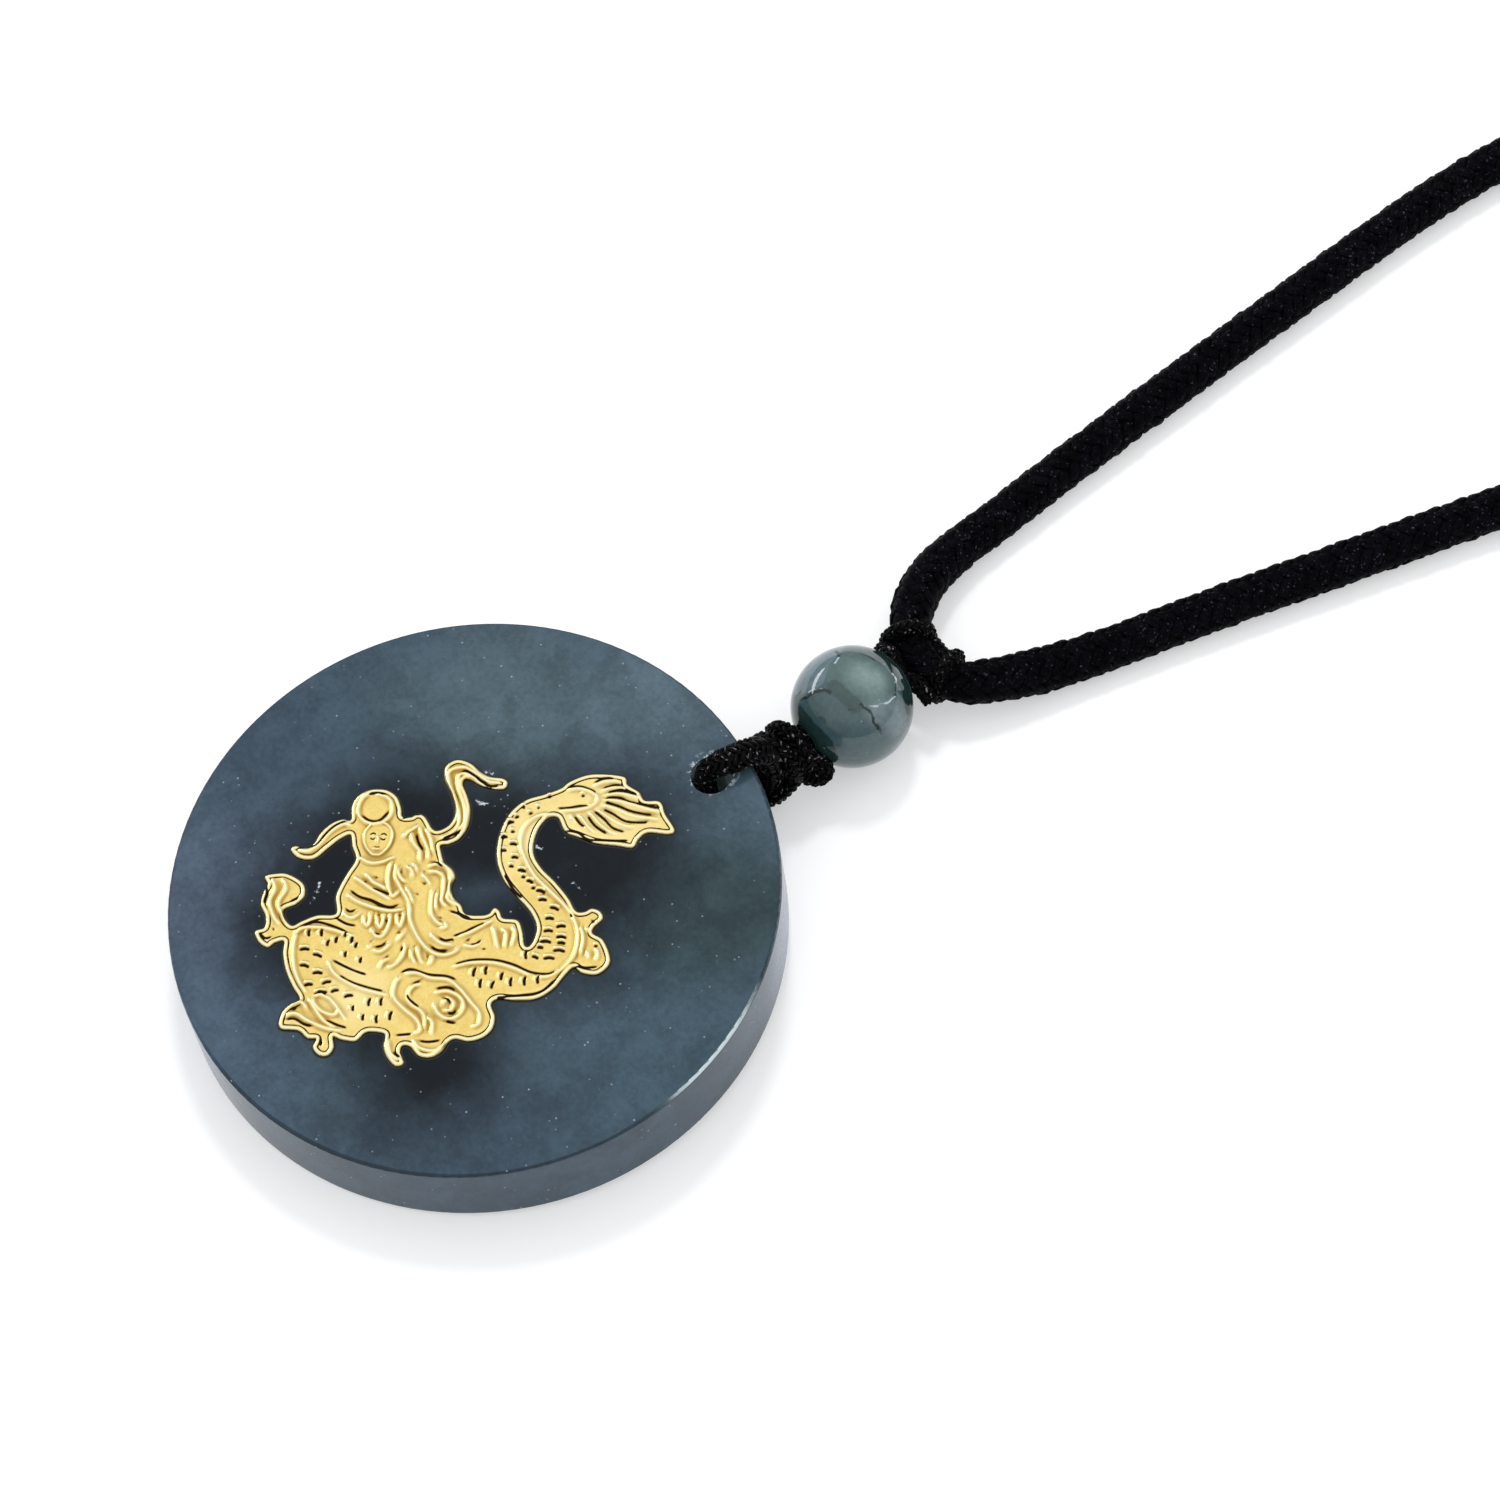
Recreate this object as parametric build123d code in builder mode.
from build123d import *

import math
import os

os.makedirs("parts", exist_ok=True)

# A jade disc pendant with an inlaid gold figure, lying flat on a table with its neck cord laid out.
# X is across the pendant, Y runs from the disc to the bead and along the neck loop, Z is up.
# The origin is on the table, in the middle of the pendant's footprint. All lengths are in millimetres.

# Jade disc
disc_diameter = 44.0
disc_thickness = 6.6
disc_edge = 0.25
hole_diameter = 3.0
hole_wall = 1.5
hole_x = 0.6

# Gold figure, set into the disc's face
figure_width = 29.5
figure_turn = 59.0
inlay_depth = 0.4
sheet_rise = 0.2
relief_rise = 0.2
relief_line = 0.42
scale_diameter = 0.62
ring_diameter = 2.6
spiral_diameter = 2.2

# Thin cord: the loop through the disc, its knot, the thread in the bead and the hitch
loop_width = 2.2
loop_thickness = 1.5
loop_bend = 1.0
knot_core_diameter = 2.6
knot_wrap_thickness = 2.1
knot_pitch_share = 0.75
knot_wrap_tilt = 8.0
wrap_diameter = 1.6
bar_diameter = 1.4
bar_drop = 40.0
hitch_station = 209.1
hitch_spacing = 4.4
loop_gap = 0.15
clearance = 0.05

# Bead, on a string line that runs level from the disc's hole to this point beside the neck cord
string_top_x = -1.88
string_top_y = 26.18
string_turn = 8.5
bead_diameter = 9.0
bead_bore = 2.4
bead_edge = 0.15
bead_gap = 0.15
thread_diameter = 2.2

# Neck cord and its clasp
neck_cord_diameter = 3.1
clasp_diameter = 4.8
clasp_length = 20.0
clasp_edge = 0.6
clasp_bore_depth = 2.6
groove_width = 0.4
groove_depth = 0.2

disc_radius = disc_diameter / 2
bead_radius = bead_diameter / 2
neck_radius = neck_cord_diameter / 2

# Stations along the string line, counted from the disc's hole
rim_station = hole_wall + hole_diameter / 2
leg_out = rim_station + loop_gap + loop_thickness / 2
knot_start = leg_out + clearance
knot_pitch = knot_pitch_share * knot_wrap_thickness
knot_end = knot_start + knot_pitch + knot_wrap_thickness
bead_station = knot_end + bead_gap + bead_radius
thread_end = bead_station + bead_radius
string_way = Vector(0, 1, 0).rotate(Axis.Z, string_turn)
hole_foot = Vector(string_top_x, string_top_y, 0) - string_way * thread_end
side_plane = Plane(origin=hole_foot, x_dir=string_way, z_dir=string_way.cross(Vector(0, 0, 1)))


def across_string(station):
    """The plane square to the string line, at a distance from the hole and at the bead's height."""
    return Plane(
        origin=hole_foot + string_way * station + Vector(0, 0, bead_radius),
        x_dir=(0, 0, 1),
        z_dir=string_way,
    )


# The loop's lower leg lies under the disc, so the disc leans on it
hole_reach = disc_radius - rim_station
leg_gap = loop_thickness + 2 * clearance
disc_tilt = math.asin(leg_gap / (disc_radius + hole_reach - hole_diameter / 2))
disc_lift = (disc_radius - disc_edge) * math.sin(disc_tilt)
disc_foot = Plane(
    origin=(hole_foot.X - hole_x, hole_foot.Y - hole_reach * math.cos(disc_tilt), disc_lift),
    x_dir=(1, 0, 0),
    z_dir=(0, -math.sin(disc_tilt), math.cos(disc_tilt)),
)
disc_face = disc_foot.offset(disc_thickness)
figure_right = disc_face.x_dir.rotate(Axis(disc_face.origin, disc_face.z_dir), figure_turn)
figure_plane = Plane(origin=disc_face.origin, x_dir=figure_right, z_dir=disc_face.z_dir)

# Outline of the gold figure, a rider on a dragon: x and y in hundredths of the figure's width,
# from the disc's centre with the rider upright, clockwise from the tip of the left scarf
left_scarf_top = [(-45.2, 11.2), (-44.4, 12.2), (-41.8, 11.7), (-39.9, 12.6), (-38.3, 15.7),
                  (-36.0, 18.2), (-33.4, 19.4), (-31.1, 19.4)]
topknot = [(-31.2, 22.7), (-30.2, 25.5), (-27.8, 27.3), (-25.3, 27.7), (-22.7, 27.3),
           (-20.4, 25.5), (-19.2, 22.6), (-18.7, 20.2)]
headscarf = [(-16.4, 20.0), (-15.2, 20.8), (-13.3, 20.2), (-10.6, 16.4)]
right_scarf_top = [(-7.6, 17.2), (-5.9, 19.6), (-5.8, 22.6), (-6.9, 26.2), (-8.7, 29.9),
                   (-9.1, 32.9), (-8.2, 34.7), (-5.9, 35.7), (-2.9, 34.7), (-0.4, 32.5),
                   (2.1, 31.0), (5.3, 30.5), (6.5, 29.4)]
right_scarf_under = [(5.7, 27.9), (3.0, 28.0), (0.1, 28.9), (-2.9, 30.5), (-4.2, 30.4),
                     (-4.4, 28.8), (-3.1, 25.6), (-2.2, 22.2), (-2.4, 18.0), (-4.2, 14.5),
                     (-6.6, 13.0), (-8.8, 12.5)]
sleeve = [(-8.6, 10.6), (-7.6, 7.8), (-5.6, 6.0), (-4.7, 3.8), (-5.4, 1.3), (-4.8, -1.6),
          (-2.8, -3.8), (-1.5, -6.3)]
saddle = [(2.2, -6.7), (4.3, -6.2), (5.5, -4.7), (6.7, -5.5), (7.7, -7.4), (11.2, -8.0),
          (12.5, -10.8), (13.2, -14.4), (14.4, -15.0)]
tail_inside = [(15.6, -13.2), (16.1, -9.7), (14.4, -5.7), (11.0, -1.6), (7.7, 2.6), (5.7, 7.0),
               (5.2, 11.7), (6.0, 16.9), (8.0, 21.3), (11.4, 24.5), (16.0, 26.1)]
tail_fan_top = [(19.8, 27.7), (22.2, 29.7), (27.2, 31.5), (34.7, 30.9), (35.9, 28.7),
                (38.9, 26.5), (40.4, 24.3), (44.1, 23.9), (45.7, 20.3), (47.9, 16.6)]
tail_fan_under = [(46.6, 15.4), (41.6, 15.8), (39.4, 14.1), (38.0, 11.8), (34.2, 12.3),
                  (29.2, 13.0), (24.8, 14.7), (21.5, 16.2), (19.5, 19.9)]
tail_outside = [(17.0, 19.9), (14.9, 17.1), (13.9, 13.3), (14.1, 9.7), (16.2, 6.0),
                (19.8, 2.2), (23.1, -2.0), (25.2, -5.5)]
hind_curl = [(27.3, -5.8), (29.1, -4.9), (31.1, -5.7), (31.7, -7.5), (29.8, -9.6), (29.6, -11.5)]
hind_fin = [(32.3, -13.5), (34.1, -18.8), (31.5, -22.0), (27.8, -21.8), (25.6, -20.3)]
belly = [(23.6, -22.2), (20.9, -25.9), (17.0, -28.5), (12.1, -28.9), (7.8, -28.6)]
cloud = [(6.2, -30.2), (7.3, -33.5), (6.8, -36.6), (4.8, -38.7), (1.5, -39.7), (-1.7, -39.1),
         (-3.4, -40.0), (-4.8, -42.4), (-7.4, -43.9), (-10.2, -43.5), (-12.5, -41.1)]
foot = [(-14.4, -41.0), (-14.8, -42.8), (-13.8, -45.5), (-15.7, -46.1), (-17.9, -43.7),
        (-18.8, -41.1), (-18.7, -38.0)]
jaw = [(-21.6, -37.2), (-23.7, -37.6), (-25.7, -39.6), (-28.9, -39.3), (-31.2, -38.6)]
beard = [(-30.9, -41.5), (-32.1, -43.4), (-34.2, -43.3), (-35.7, -41.5), (-35.1, -39.2)]
snout = [(-37.4, -38.8), (-39.7, -36.9), (-44.1, -36.2), (-44.0, -32.7), (-42.5, -30.6),
         (-39.9, -28.9)]
neck_back = [(-41.9, -25.3), (-43.8, -21.3), (-44.9, -16.9), (-45.0, -13.3)]
tuft = [(-47.3, -13.6), (-49.0, -14.8), (-51.2, -13.3), (-52.2, -10.8), (-50.0, -9.7)]
crest = [(-50.0, -6.6), (-51.4, -3.5), (-51.0, -0.3), (-50.2, 1.9), (-51.0, 4.0), (-48.7, 4.7),
         (-45.6, 4.6), (-41.8, 2.2), (-41.1, -0.9), (-43.0, -3.2), (-45.7, -4.7), (-45.3, -7.4),
         (-43.4, -9.3)]
shoulder = [(-41.0, -8.1), (-37.5, -6.6), (-32.9, -6.1)]
robe_back = [(-33.2, -1.7), (-32.4, 1.4), (-30.8, 5.0), (-29.1, 8.6), (-30.2, 12.1),
             (-31.0, 15.4)]
left_scarf_under = [(-33.4, 14.5), (-36.2, 12.0), (-38.8, 9.5), (-40.9, 8.8), (-43.5, 9.4)]

figure_outline = (
    left_scarf_top + topknot + headscarf + right_scarf_top + right_scarf_under + sleeve + saddle
    + tail_inside + tail_fan_top + tail_fan_under + tail_outside + hind_curl + hind_fin + belly
    + cloud + foot + jaw + beard + snout + neck_back + tuft + crest + shoulder + robe_back
    + left_scarf_under
)

# Raised lines on the figure, in the same hundredths
relief_lines = {
    "left_scarf": [(-43.5, 10.4), (-40.0, 10.9), (-37.3, 13.8), (-34.3, 17.0), (-31.4, 17.4)],
    "right_scarf": [(-8.5, 14.6), (-5.0, 16.7), (-3.9, 22.2), (-5.6, 27.8), (-7.1, 32.3),
                    (-4.3, 33.3), (-0.1, 30.5), (4.6, 29.2)],
    "body_edge": [(16.8, 21.3), (12.6, 15.7), (11.9, 9.3), (14.4, 3.8), (19.0, -1.7),
                  (22.4, -6.5), (24.5, -12.7), (23.8, -18.9), (20.1, -22.0), (14.4, -21.4),
                  (8.6, -19.1), (3.0, -18.6), (-3.0, -19.9)],
    "dragon_neck": [(-39.4, -26.9), (-41.8, -19.8), (-41.6, -13.6), (-38.7, -9.6),
                    (-32.7, -8.2), (-27.6, -9.6)],
    "cloud_top": [(-18.1, -29.9), (-17.9, -25.2), (-15.3, -21.9), (-10.7, -21.3), (-5.6, -23.0),
                  (-1.2, -25.2), (2.6, -29.0), (5.1, -32.9), (4.1, -36.4)],
    "cloud_curl": [(-14.0, -24.5), (-14.5, -27.6), (-12.5, -30.3), (-8.8, -32.9),
                   (-7.5, -36.4), (-8.5, -40.0)],
    "robe_hem": [(-30.8, 0.3), (-25.9, -3.2), (-20.1, -4.5), (-16.6, -3.8)],
    "robe_front": [(-15.7, -2.6), (-14.0, -9.6), (-10.1, -14.3), (-3.7, -14.5)],
    "collar": [(-15.1, 17.4), (-14.1, 12.6), (-14.5, 7.8)],
    "jaw_line": [(-33.0, -18.7), (-26.6, -22.2), (-20.4, -26.6)],
    "fan_1": [(27.0, 28.9), (34.5, 29.6)],
    "fan_2": [(29.4, 26.3), (38.2, 25.7)],
    "fan_3": [(30.0, 24.1), (37.6, 23.0), (44.1, 22.0)],
    "fan_4": [(29.4, 21.9), (37.1, 19.2), (46.0, 17.0)],
    "fan_5": [(26.3, 20.1), (30.8, 15.3)],
    "fan_6": [(22.0, 20.3), (26.2, 16.3)],
}
ring_centre = (-25.0, 22.7)
spiral_centre = (-4.2, -30.6)
eye_centre = (-34.2, -30.0)
tail_scale_line = [(13.6, 22.4), (9.3, 17.4), (8.0, 10.0), (10.4, 3.9), (15.4, -2.0), (18.8, -7.0),
                   (20.6, -13.0), (18.6, -17.4)]
back_scale_line = [(-37.0, -15.0), (-30.5, -12.6), (-24.5, -13.4), (-19.0, -16.8)]
tail_scales = 16
back_scales = 6


def on_figure(points):
    """Points of the figure in millimetres, from hundredths of its width."""
    return [(x * figure_width / 100, y * figure_width / 100) for x, y in points]


# Neck cord: the route of its middle, from inside the clasp down the right strand, round the hitch
# and back up the left strand. The points stay as chosen.
lying = neck_radius
hitch_z = neck_radius + wrap_diameter + 2 * clearance
half_way = 2.5
easing = 1.7
near_clasp = 1.8
in_clasp = clasp_diameter / 2
loop_end_y = 225.5
loop_middle_x = -0.5
neck_route = [
    (6.9, loop_end_y, in_clasp),
    (12.5, loop_end_y, in_clasp),
    (17.3, 222.7, near_clasp),
    (20.0, 217.8, lying),
    (20.2, 207.6, lying),
    (20.3, 190.0, lying),
    (19.6, 168.0, lying),
    (17.0, 143.0, lying),
    (13.4, 118.5, lying),
    (9.5, 92.5, lying),
    (6.9, 74.5, lying),
    (5.0, 60.3, lying),
    (3.5, 49.5, lying),
    (2.6, 41.6, lying),
    (1.9, 36.6, easing),
    (1.1, 32.4, half_way),
    (0.35, 29.35, hitch_z),
    (-2.5, 27.75, hitch_z),
    (-6.0, 29.0, hitch_z),
    (-8.8, 31.8, half_way),
    (-10.4, 35.2, easing),
    (-11.2, 39.4, lying),
    (-12.5, 45.1, lying),
    (-14.4, 54.9, lying),
    (-17.2, 69.8, lying),
    (-20.0, 85.5, lying),
    (-20.2, 99.0, lying),
    (-20.3, 121.0, lying),
    (-20.4, 150.0, lying),
    (-20.45, 178.0, lying),
    (-20.4, 197.0, lying),
    (-20.3, 207.6, lying),
    (-20.1, 217.8, lying),
    (-17.4, 222.7, near_clasp),
    (-12.6, loop_end_y, in_clasp),
    (-7.9, loop_end_y, in_clasp),
]


def bend_radii(route):
    """The radius at each inner point, as large as its two runs allow."""
    radii = []
    for before, here, after in zip(route, route[1:], route[2:]):
        run_in = Vector(*here) - Vector(*before)
        run_out = Vector(*after) - Vector(*here)
        half_turn = math.radians(run_in.get_angle(run_out)) / 2
        radii.append(0.45 * min(run_in.length, run_out.length) / math.tan(half_turn))
    return radii


neck_radii = bend_radii(neck_route)
print("neck cord radii", [round(radius, 1) for radius in neck_radii])

# Jade disc, with the drilled hole and the shallow bed of the inlay
with BuildPart() as jade_disc:
    with BuildSketch(disc_foot):
        Circle(disc_radius)
    extrude(amount=disc_thickness)
    fillet(jade_disc.edges().filter_by(GeomType.CIRCLE), disc_edge)
    with BuildSketch(disc_face):
        with Locations((hole_x, hole_reach)):
            Circle(hole_diameter / 2)
    extrude(amount=-disc_thickness, mode=Mode.SUBTRACT)
    with BuildSketch(figure_plane):
        with BuildLine():
            Polyline(*on_figure(figure_outline), close=True)
        make_face()
    extrude(amount=-inlay_depth, mode=Mode.SUBTRACT)
jade_disc.part.label = "jade_disc"
export_step(jade_disc.part, "parts/jade_disc.step")

# Gold figure: a sheet in its bed, with raised lines, scales, a ring and the cloud's spiral
with BuildPart() as gold_dragon:
    with BuildSketch(figure_plane.offset(-inlay_depth)):
        with BuildLine():
            Polyline(*on_figure(figure_outline), close=True)
        make_face()
    extrude(amount=inlay_depth + sheet_rise)
    with BuildSketch(figure_plane.offset(sheet_rise)):
        for points in relief_lines.values():
            with BuildLine():
                raised = Polyline(*on_figure(points))
            trace(raised, line_width=relief_line)
        with BuildLine(mode=Mode.PRIVATE):
            tail_line = Spline(*on_figure(tail_scale_line))
            back_line = Spline(*on_figure(back_scale_line))
        for line, count in ((tail_line, tail_scales), (back_line, back_scales)):
            for step in range(count):
                with Locations(line.position_at((step + 0.5) / count)):
                    RegularPolygon(scale_diameter / 2, 6)
        with Locations(*on_figure([ring_centre])):
            Circle(ring_diameter / 2)
            Circle(ring_diameter / 2 - relief_line, mode=Mode.SUBTRACT)
        with Locations(*on_figure([spiral_centre])):
            Circle(spiral_diameter / 2)
            Circle(spiral_diameter / 2 - relief_line, mode=Mode.SUBTRACT)
        with Locations(*on_figure([spiral_centre, eye_centre])):
            Circle(relief_line)
    extrude(amount=relief_rise)
gold_dragon.part.label = "gold_dragon"
export_step(gold_dragon.part, "parts/gold_dragon.step")

# Loop through the disc, fused with its knot and the thread that the bead hangs on
top_at_rim = disc_lift + disc_radius * math.sin(disc_tilt) + disc_thickness
over = top_at_rim + clearance + loop_thickness / 2
under = clearance + loop_thickness / 2
lean = -disc_thickness * math.sin(disc_tilt) / 2
leg_corners = [(leg_out, over), (lean, over), (lean, under), (leg_out, under)]
first_turn = knot_start + knot_wrap_thickness / 2
with BuildPart() as hanging_loop:
    with BuildLine(side_plane):
        leg_path = FilletPolyline(*leg_corners, radius=loop_bend, close=True)
    with BuildSketch(Plane(origin=leg_path @ 0, x_dir=side_plane.z_dir, z_dir=leg_path % 0)):
        SlotOverall(loop_width, loop_thickness)
    sweep(path=leg_path)
    with BuildSketch(across_string(leg_out)):
        Circle(knot_core_diameter / 2)
    extrude(amount=knot_end - leg_out)
    for station, tilt in ((first_turn, knot_wrap_tilt), (first_turn + knot_pitch, -knot_wrap_tilt)):
        with Locations(across_string(station).location * Location((0, 0, 0), (tilt, 0, 0))):
            Torus(knot_core_diameter / 2, knot_wrap_thickness / 2)
    with BuildSketch(across_string(knot_end)):
        Circle(thread_diameter / 2)
    extrude(amount=thread_end - knot_end)
hanging_loop.part.label = "hanging_loop"
export_step(hanging_loop.part, "parts/hanging_loop.step")

# Jade bead, drilled along the string line
bead_plane = across_string(bead_station)
with BuildPart() as jade_bead:
    with Locations(bead_plane):
        Sphere(bead_radius)
    with BuildSketch(bead_plane.offset(-bead_radius)):
        Circle(bead_bore / 2)
    extrude(amount=bead_diameter, mode=Mode.SUBTRACT)
    chamfer(jade_bead.edges().filter_by(GeomType.CIRCLE), bead_edge)
jade_bead.part.label = "jade_bead"
export_step(jade_bead.part, "parts/jade_bead.step")

# Neck cord: one braided cord, from one end of the clasp round the hitch to the other
with BuildPart() as neck_cord:
    with BuildLine():
        neck_path = FilletPolyline(*neck_route, radius=neck_radii)
    with BuildSketch(Plane(origin=neck_path @ 0, z_dir=neck_path % 0)):
        Circle(neck_radius)
    sweep(path=neck_path)
neck_cord.part.label = "neck_cord"
export_step(neck_cord.part, "parts/neck_cord.step")
cord_section = math.pi * neck_radius**2
print("neck cord length", round(neck_path.length, 1))
print("neck cord volume", round(neck_cord.part.volume), round(cord_section * neck_path.length))

# Hitch: two turns of the thin cord round the neck cord, joined by a bar inside the bight
wrap_ring_radius = neck_radius + clearance + wrap_diameter / 2
bar_side = Vector(0, 1, 0).rotate(Axis.X, -bar_drop)
turn_planes = []
for station in (hitch_station - hitch_spacing / 2, hitch_station + hitch_spacing / 2):
    turn_centre = neck_path.position_at(station, PositionMode.LENGTH)
    turn_way = neck_path.tangent_at(station, PositionMode.LENGTH)
    outward = bar_side - turn_way * bar_side.dot(turn_way)
    turn_planes.append(Plane(origin=turn_centre, x_dir=outward, z_dir=turn_way))
bar_start, bar_end = (plane.origin + plane.x_dir * wrap_ring_radius for plane in turn_planes)
with BuildPart() as hitch:
    with BuildSketch(Plane(origin=bar_start, z_dir=bar_end - bar_start)):
        Circle(bar_diameter / 2)
    extrude(amount=(bar_end - bar_start).length)
    with Locations(*turn_planes):
        Torus(wrap_ring_radius, wrap_diameter / 2)
hitch.part.label = "hitch"
export_step(hitch.part, "parts/hitch.step")

# Clasp at the back of the loop: one plain tube that both ends of the cord go into
clasp_plane = Plane(origin=(loop_middle_x, loop_end_y, in_clasp), x_dir=(0, 1, 0), z_dir=(1, 0, 0))
with BuildPart() as clasp:
    with BuildSketch(clasp_plane.offset(-clasp_length / 2)):
        Circle(clasp_diameter / 2)
    extrude(amount=clasp_length)
    fillet(clasp.edges().filter_by(GeomType.CIRCLE), clasp_edge)
    for end in (-1, 1):
        with BuildSketch(clasp_plane.offset(end * clasp_length / 2)):
            Circle(neck_radius + clearance)
        extrude(amount=-end * clasp_bore_depth, mode=Mode.SUBTRACT)
    with BuildSketch(clasp_plane.offset(-groove_width / 2)):
        Circle(clasp_diameter / 2)
        Circle(clasp_diameter / 2 - groove_depth, mode=Mode.SUBTRACT)
    extrude(amount=groove_width, mode=Mode.SUBTRACT)
clasp.part.label = "clasp"
export_step(clasp.part, "parts/clasp.step")
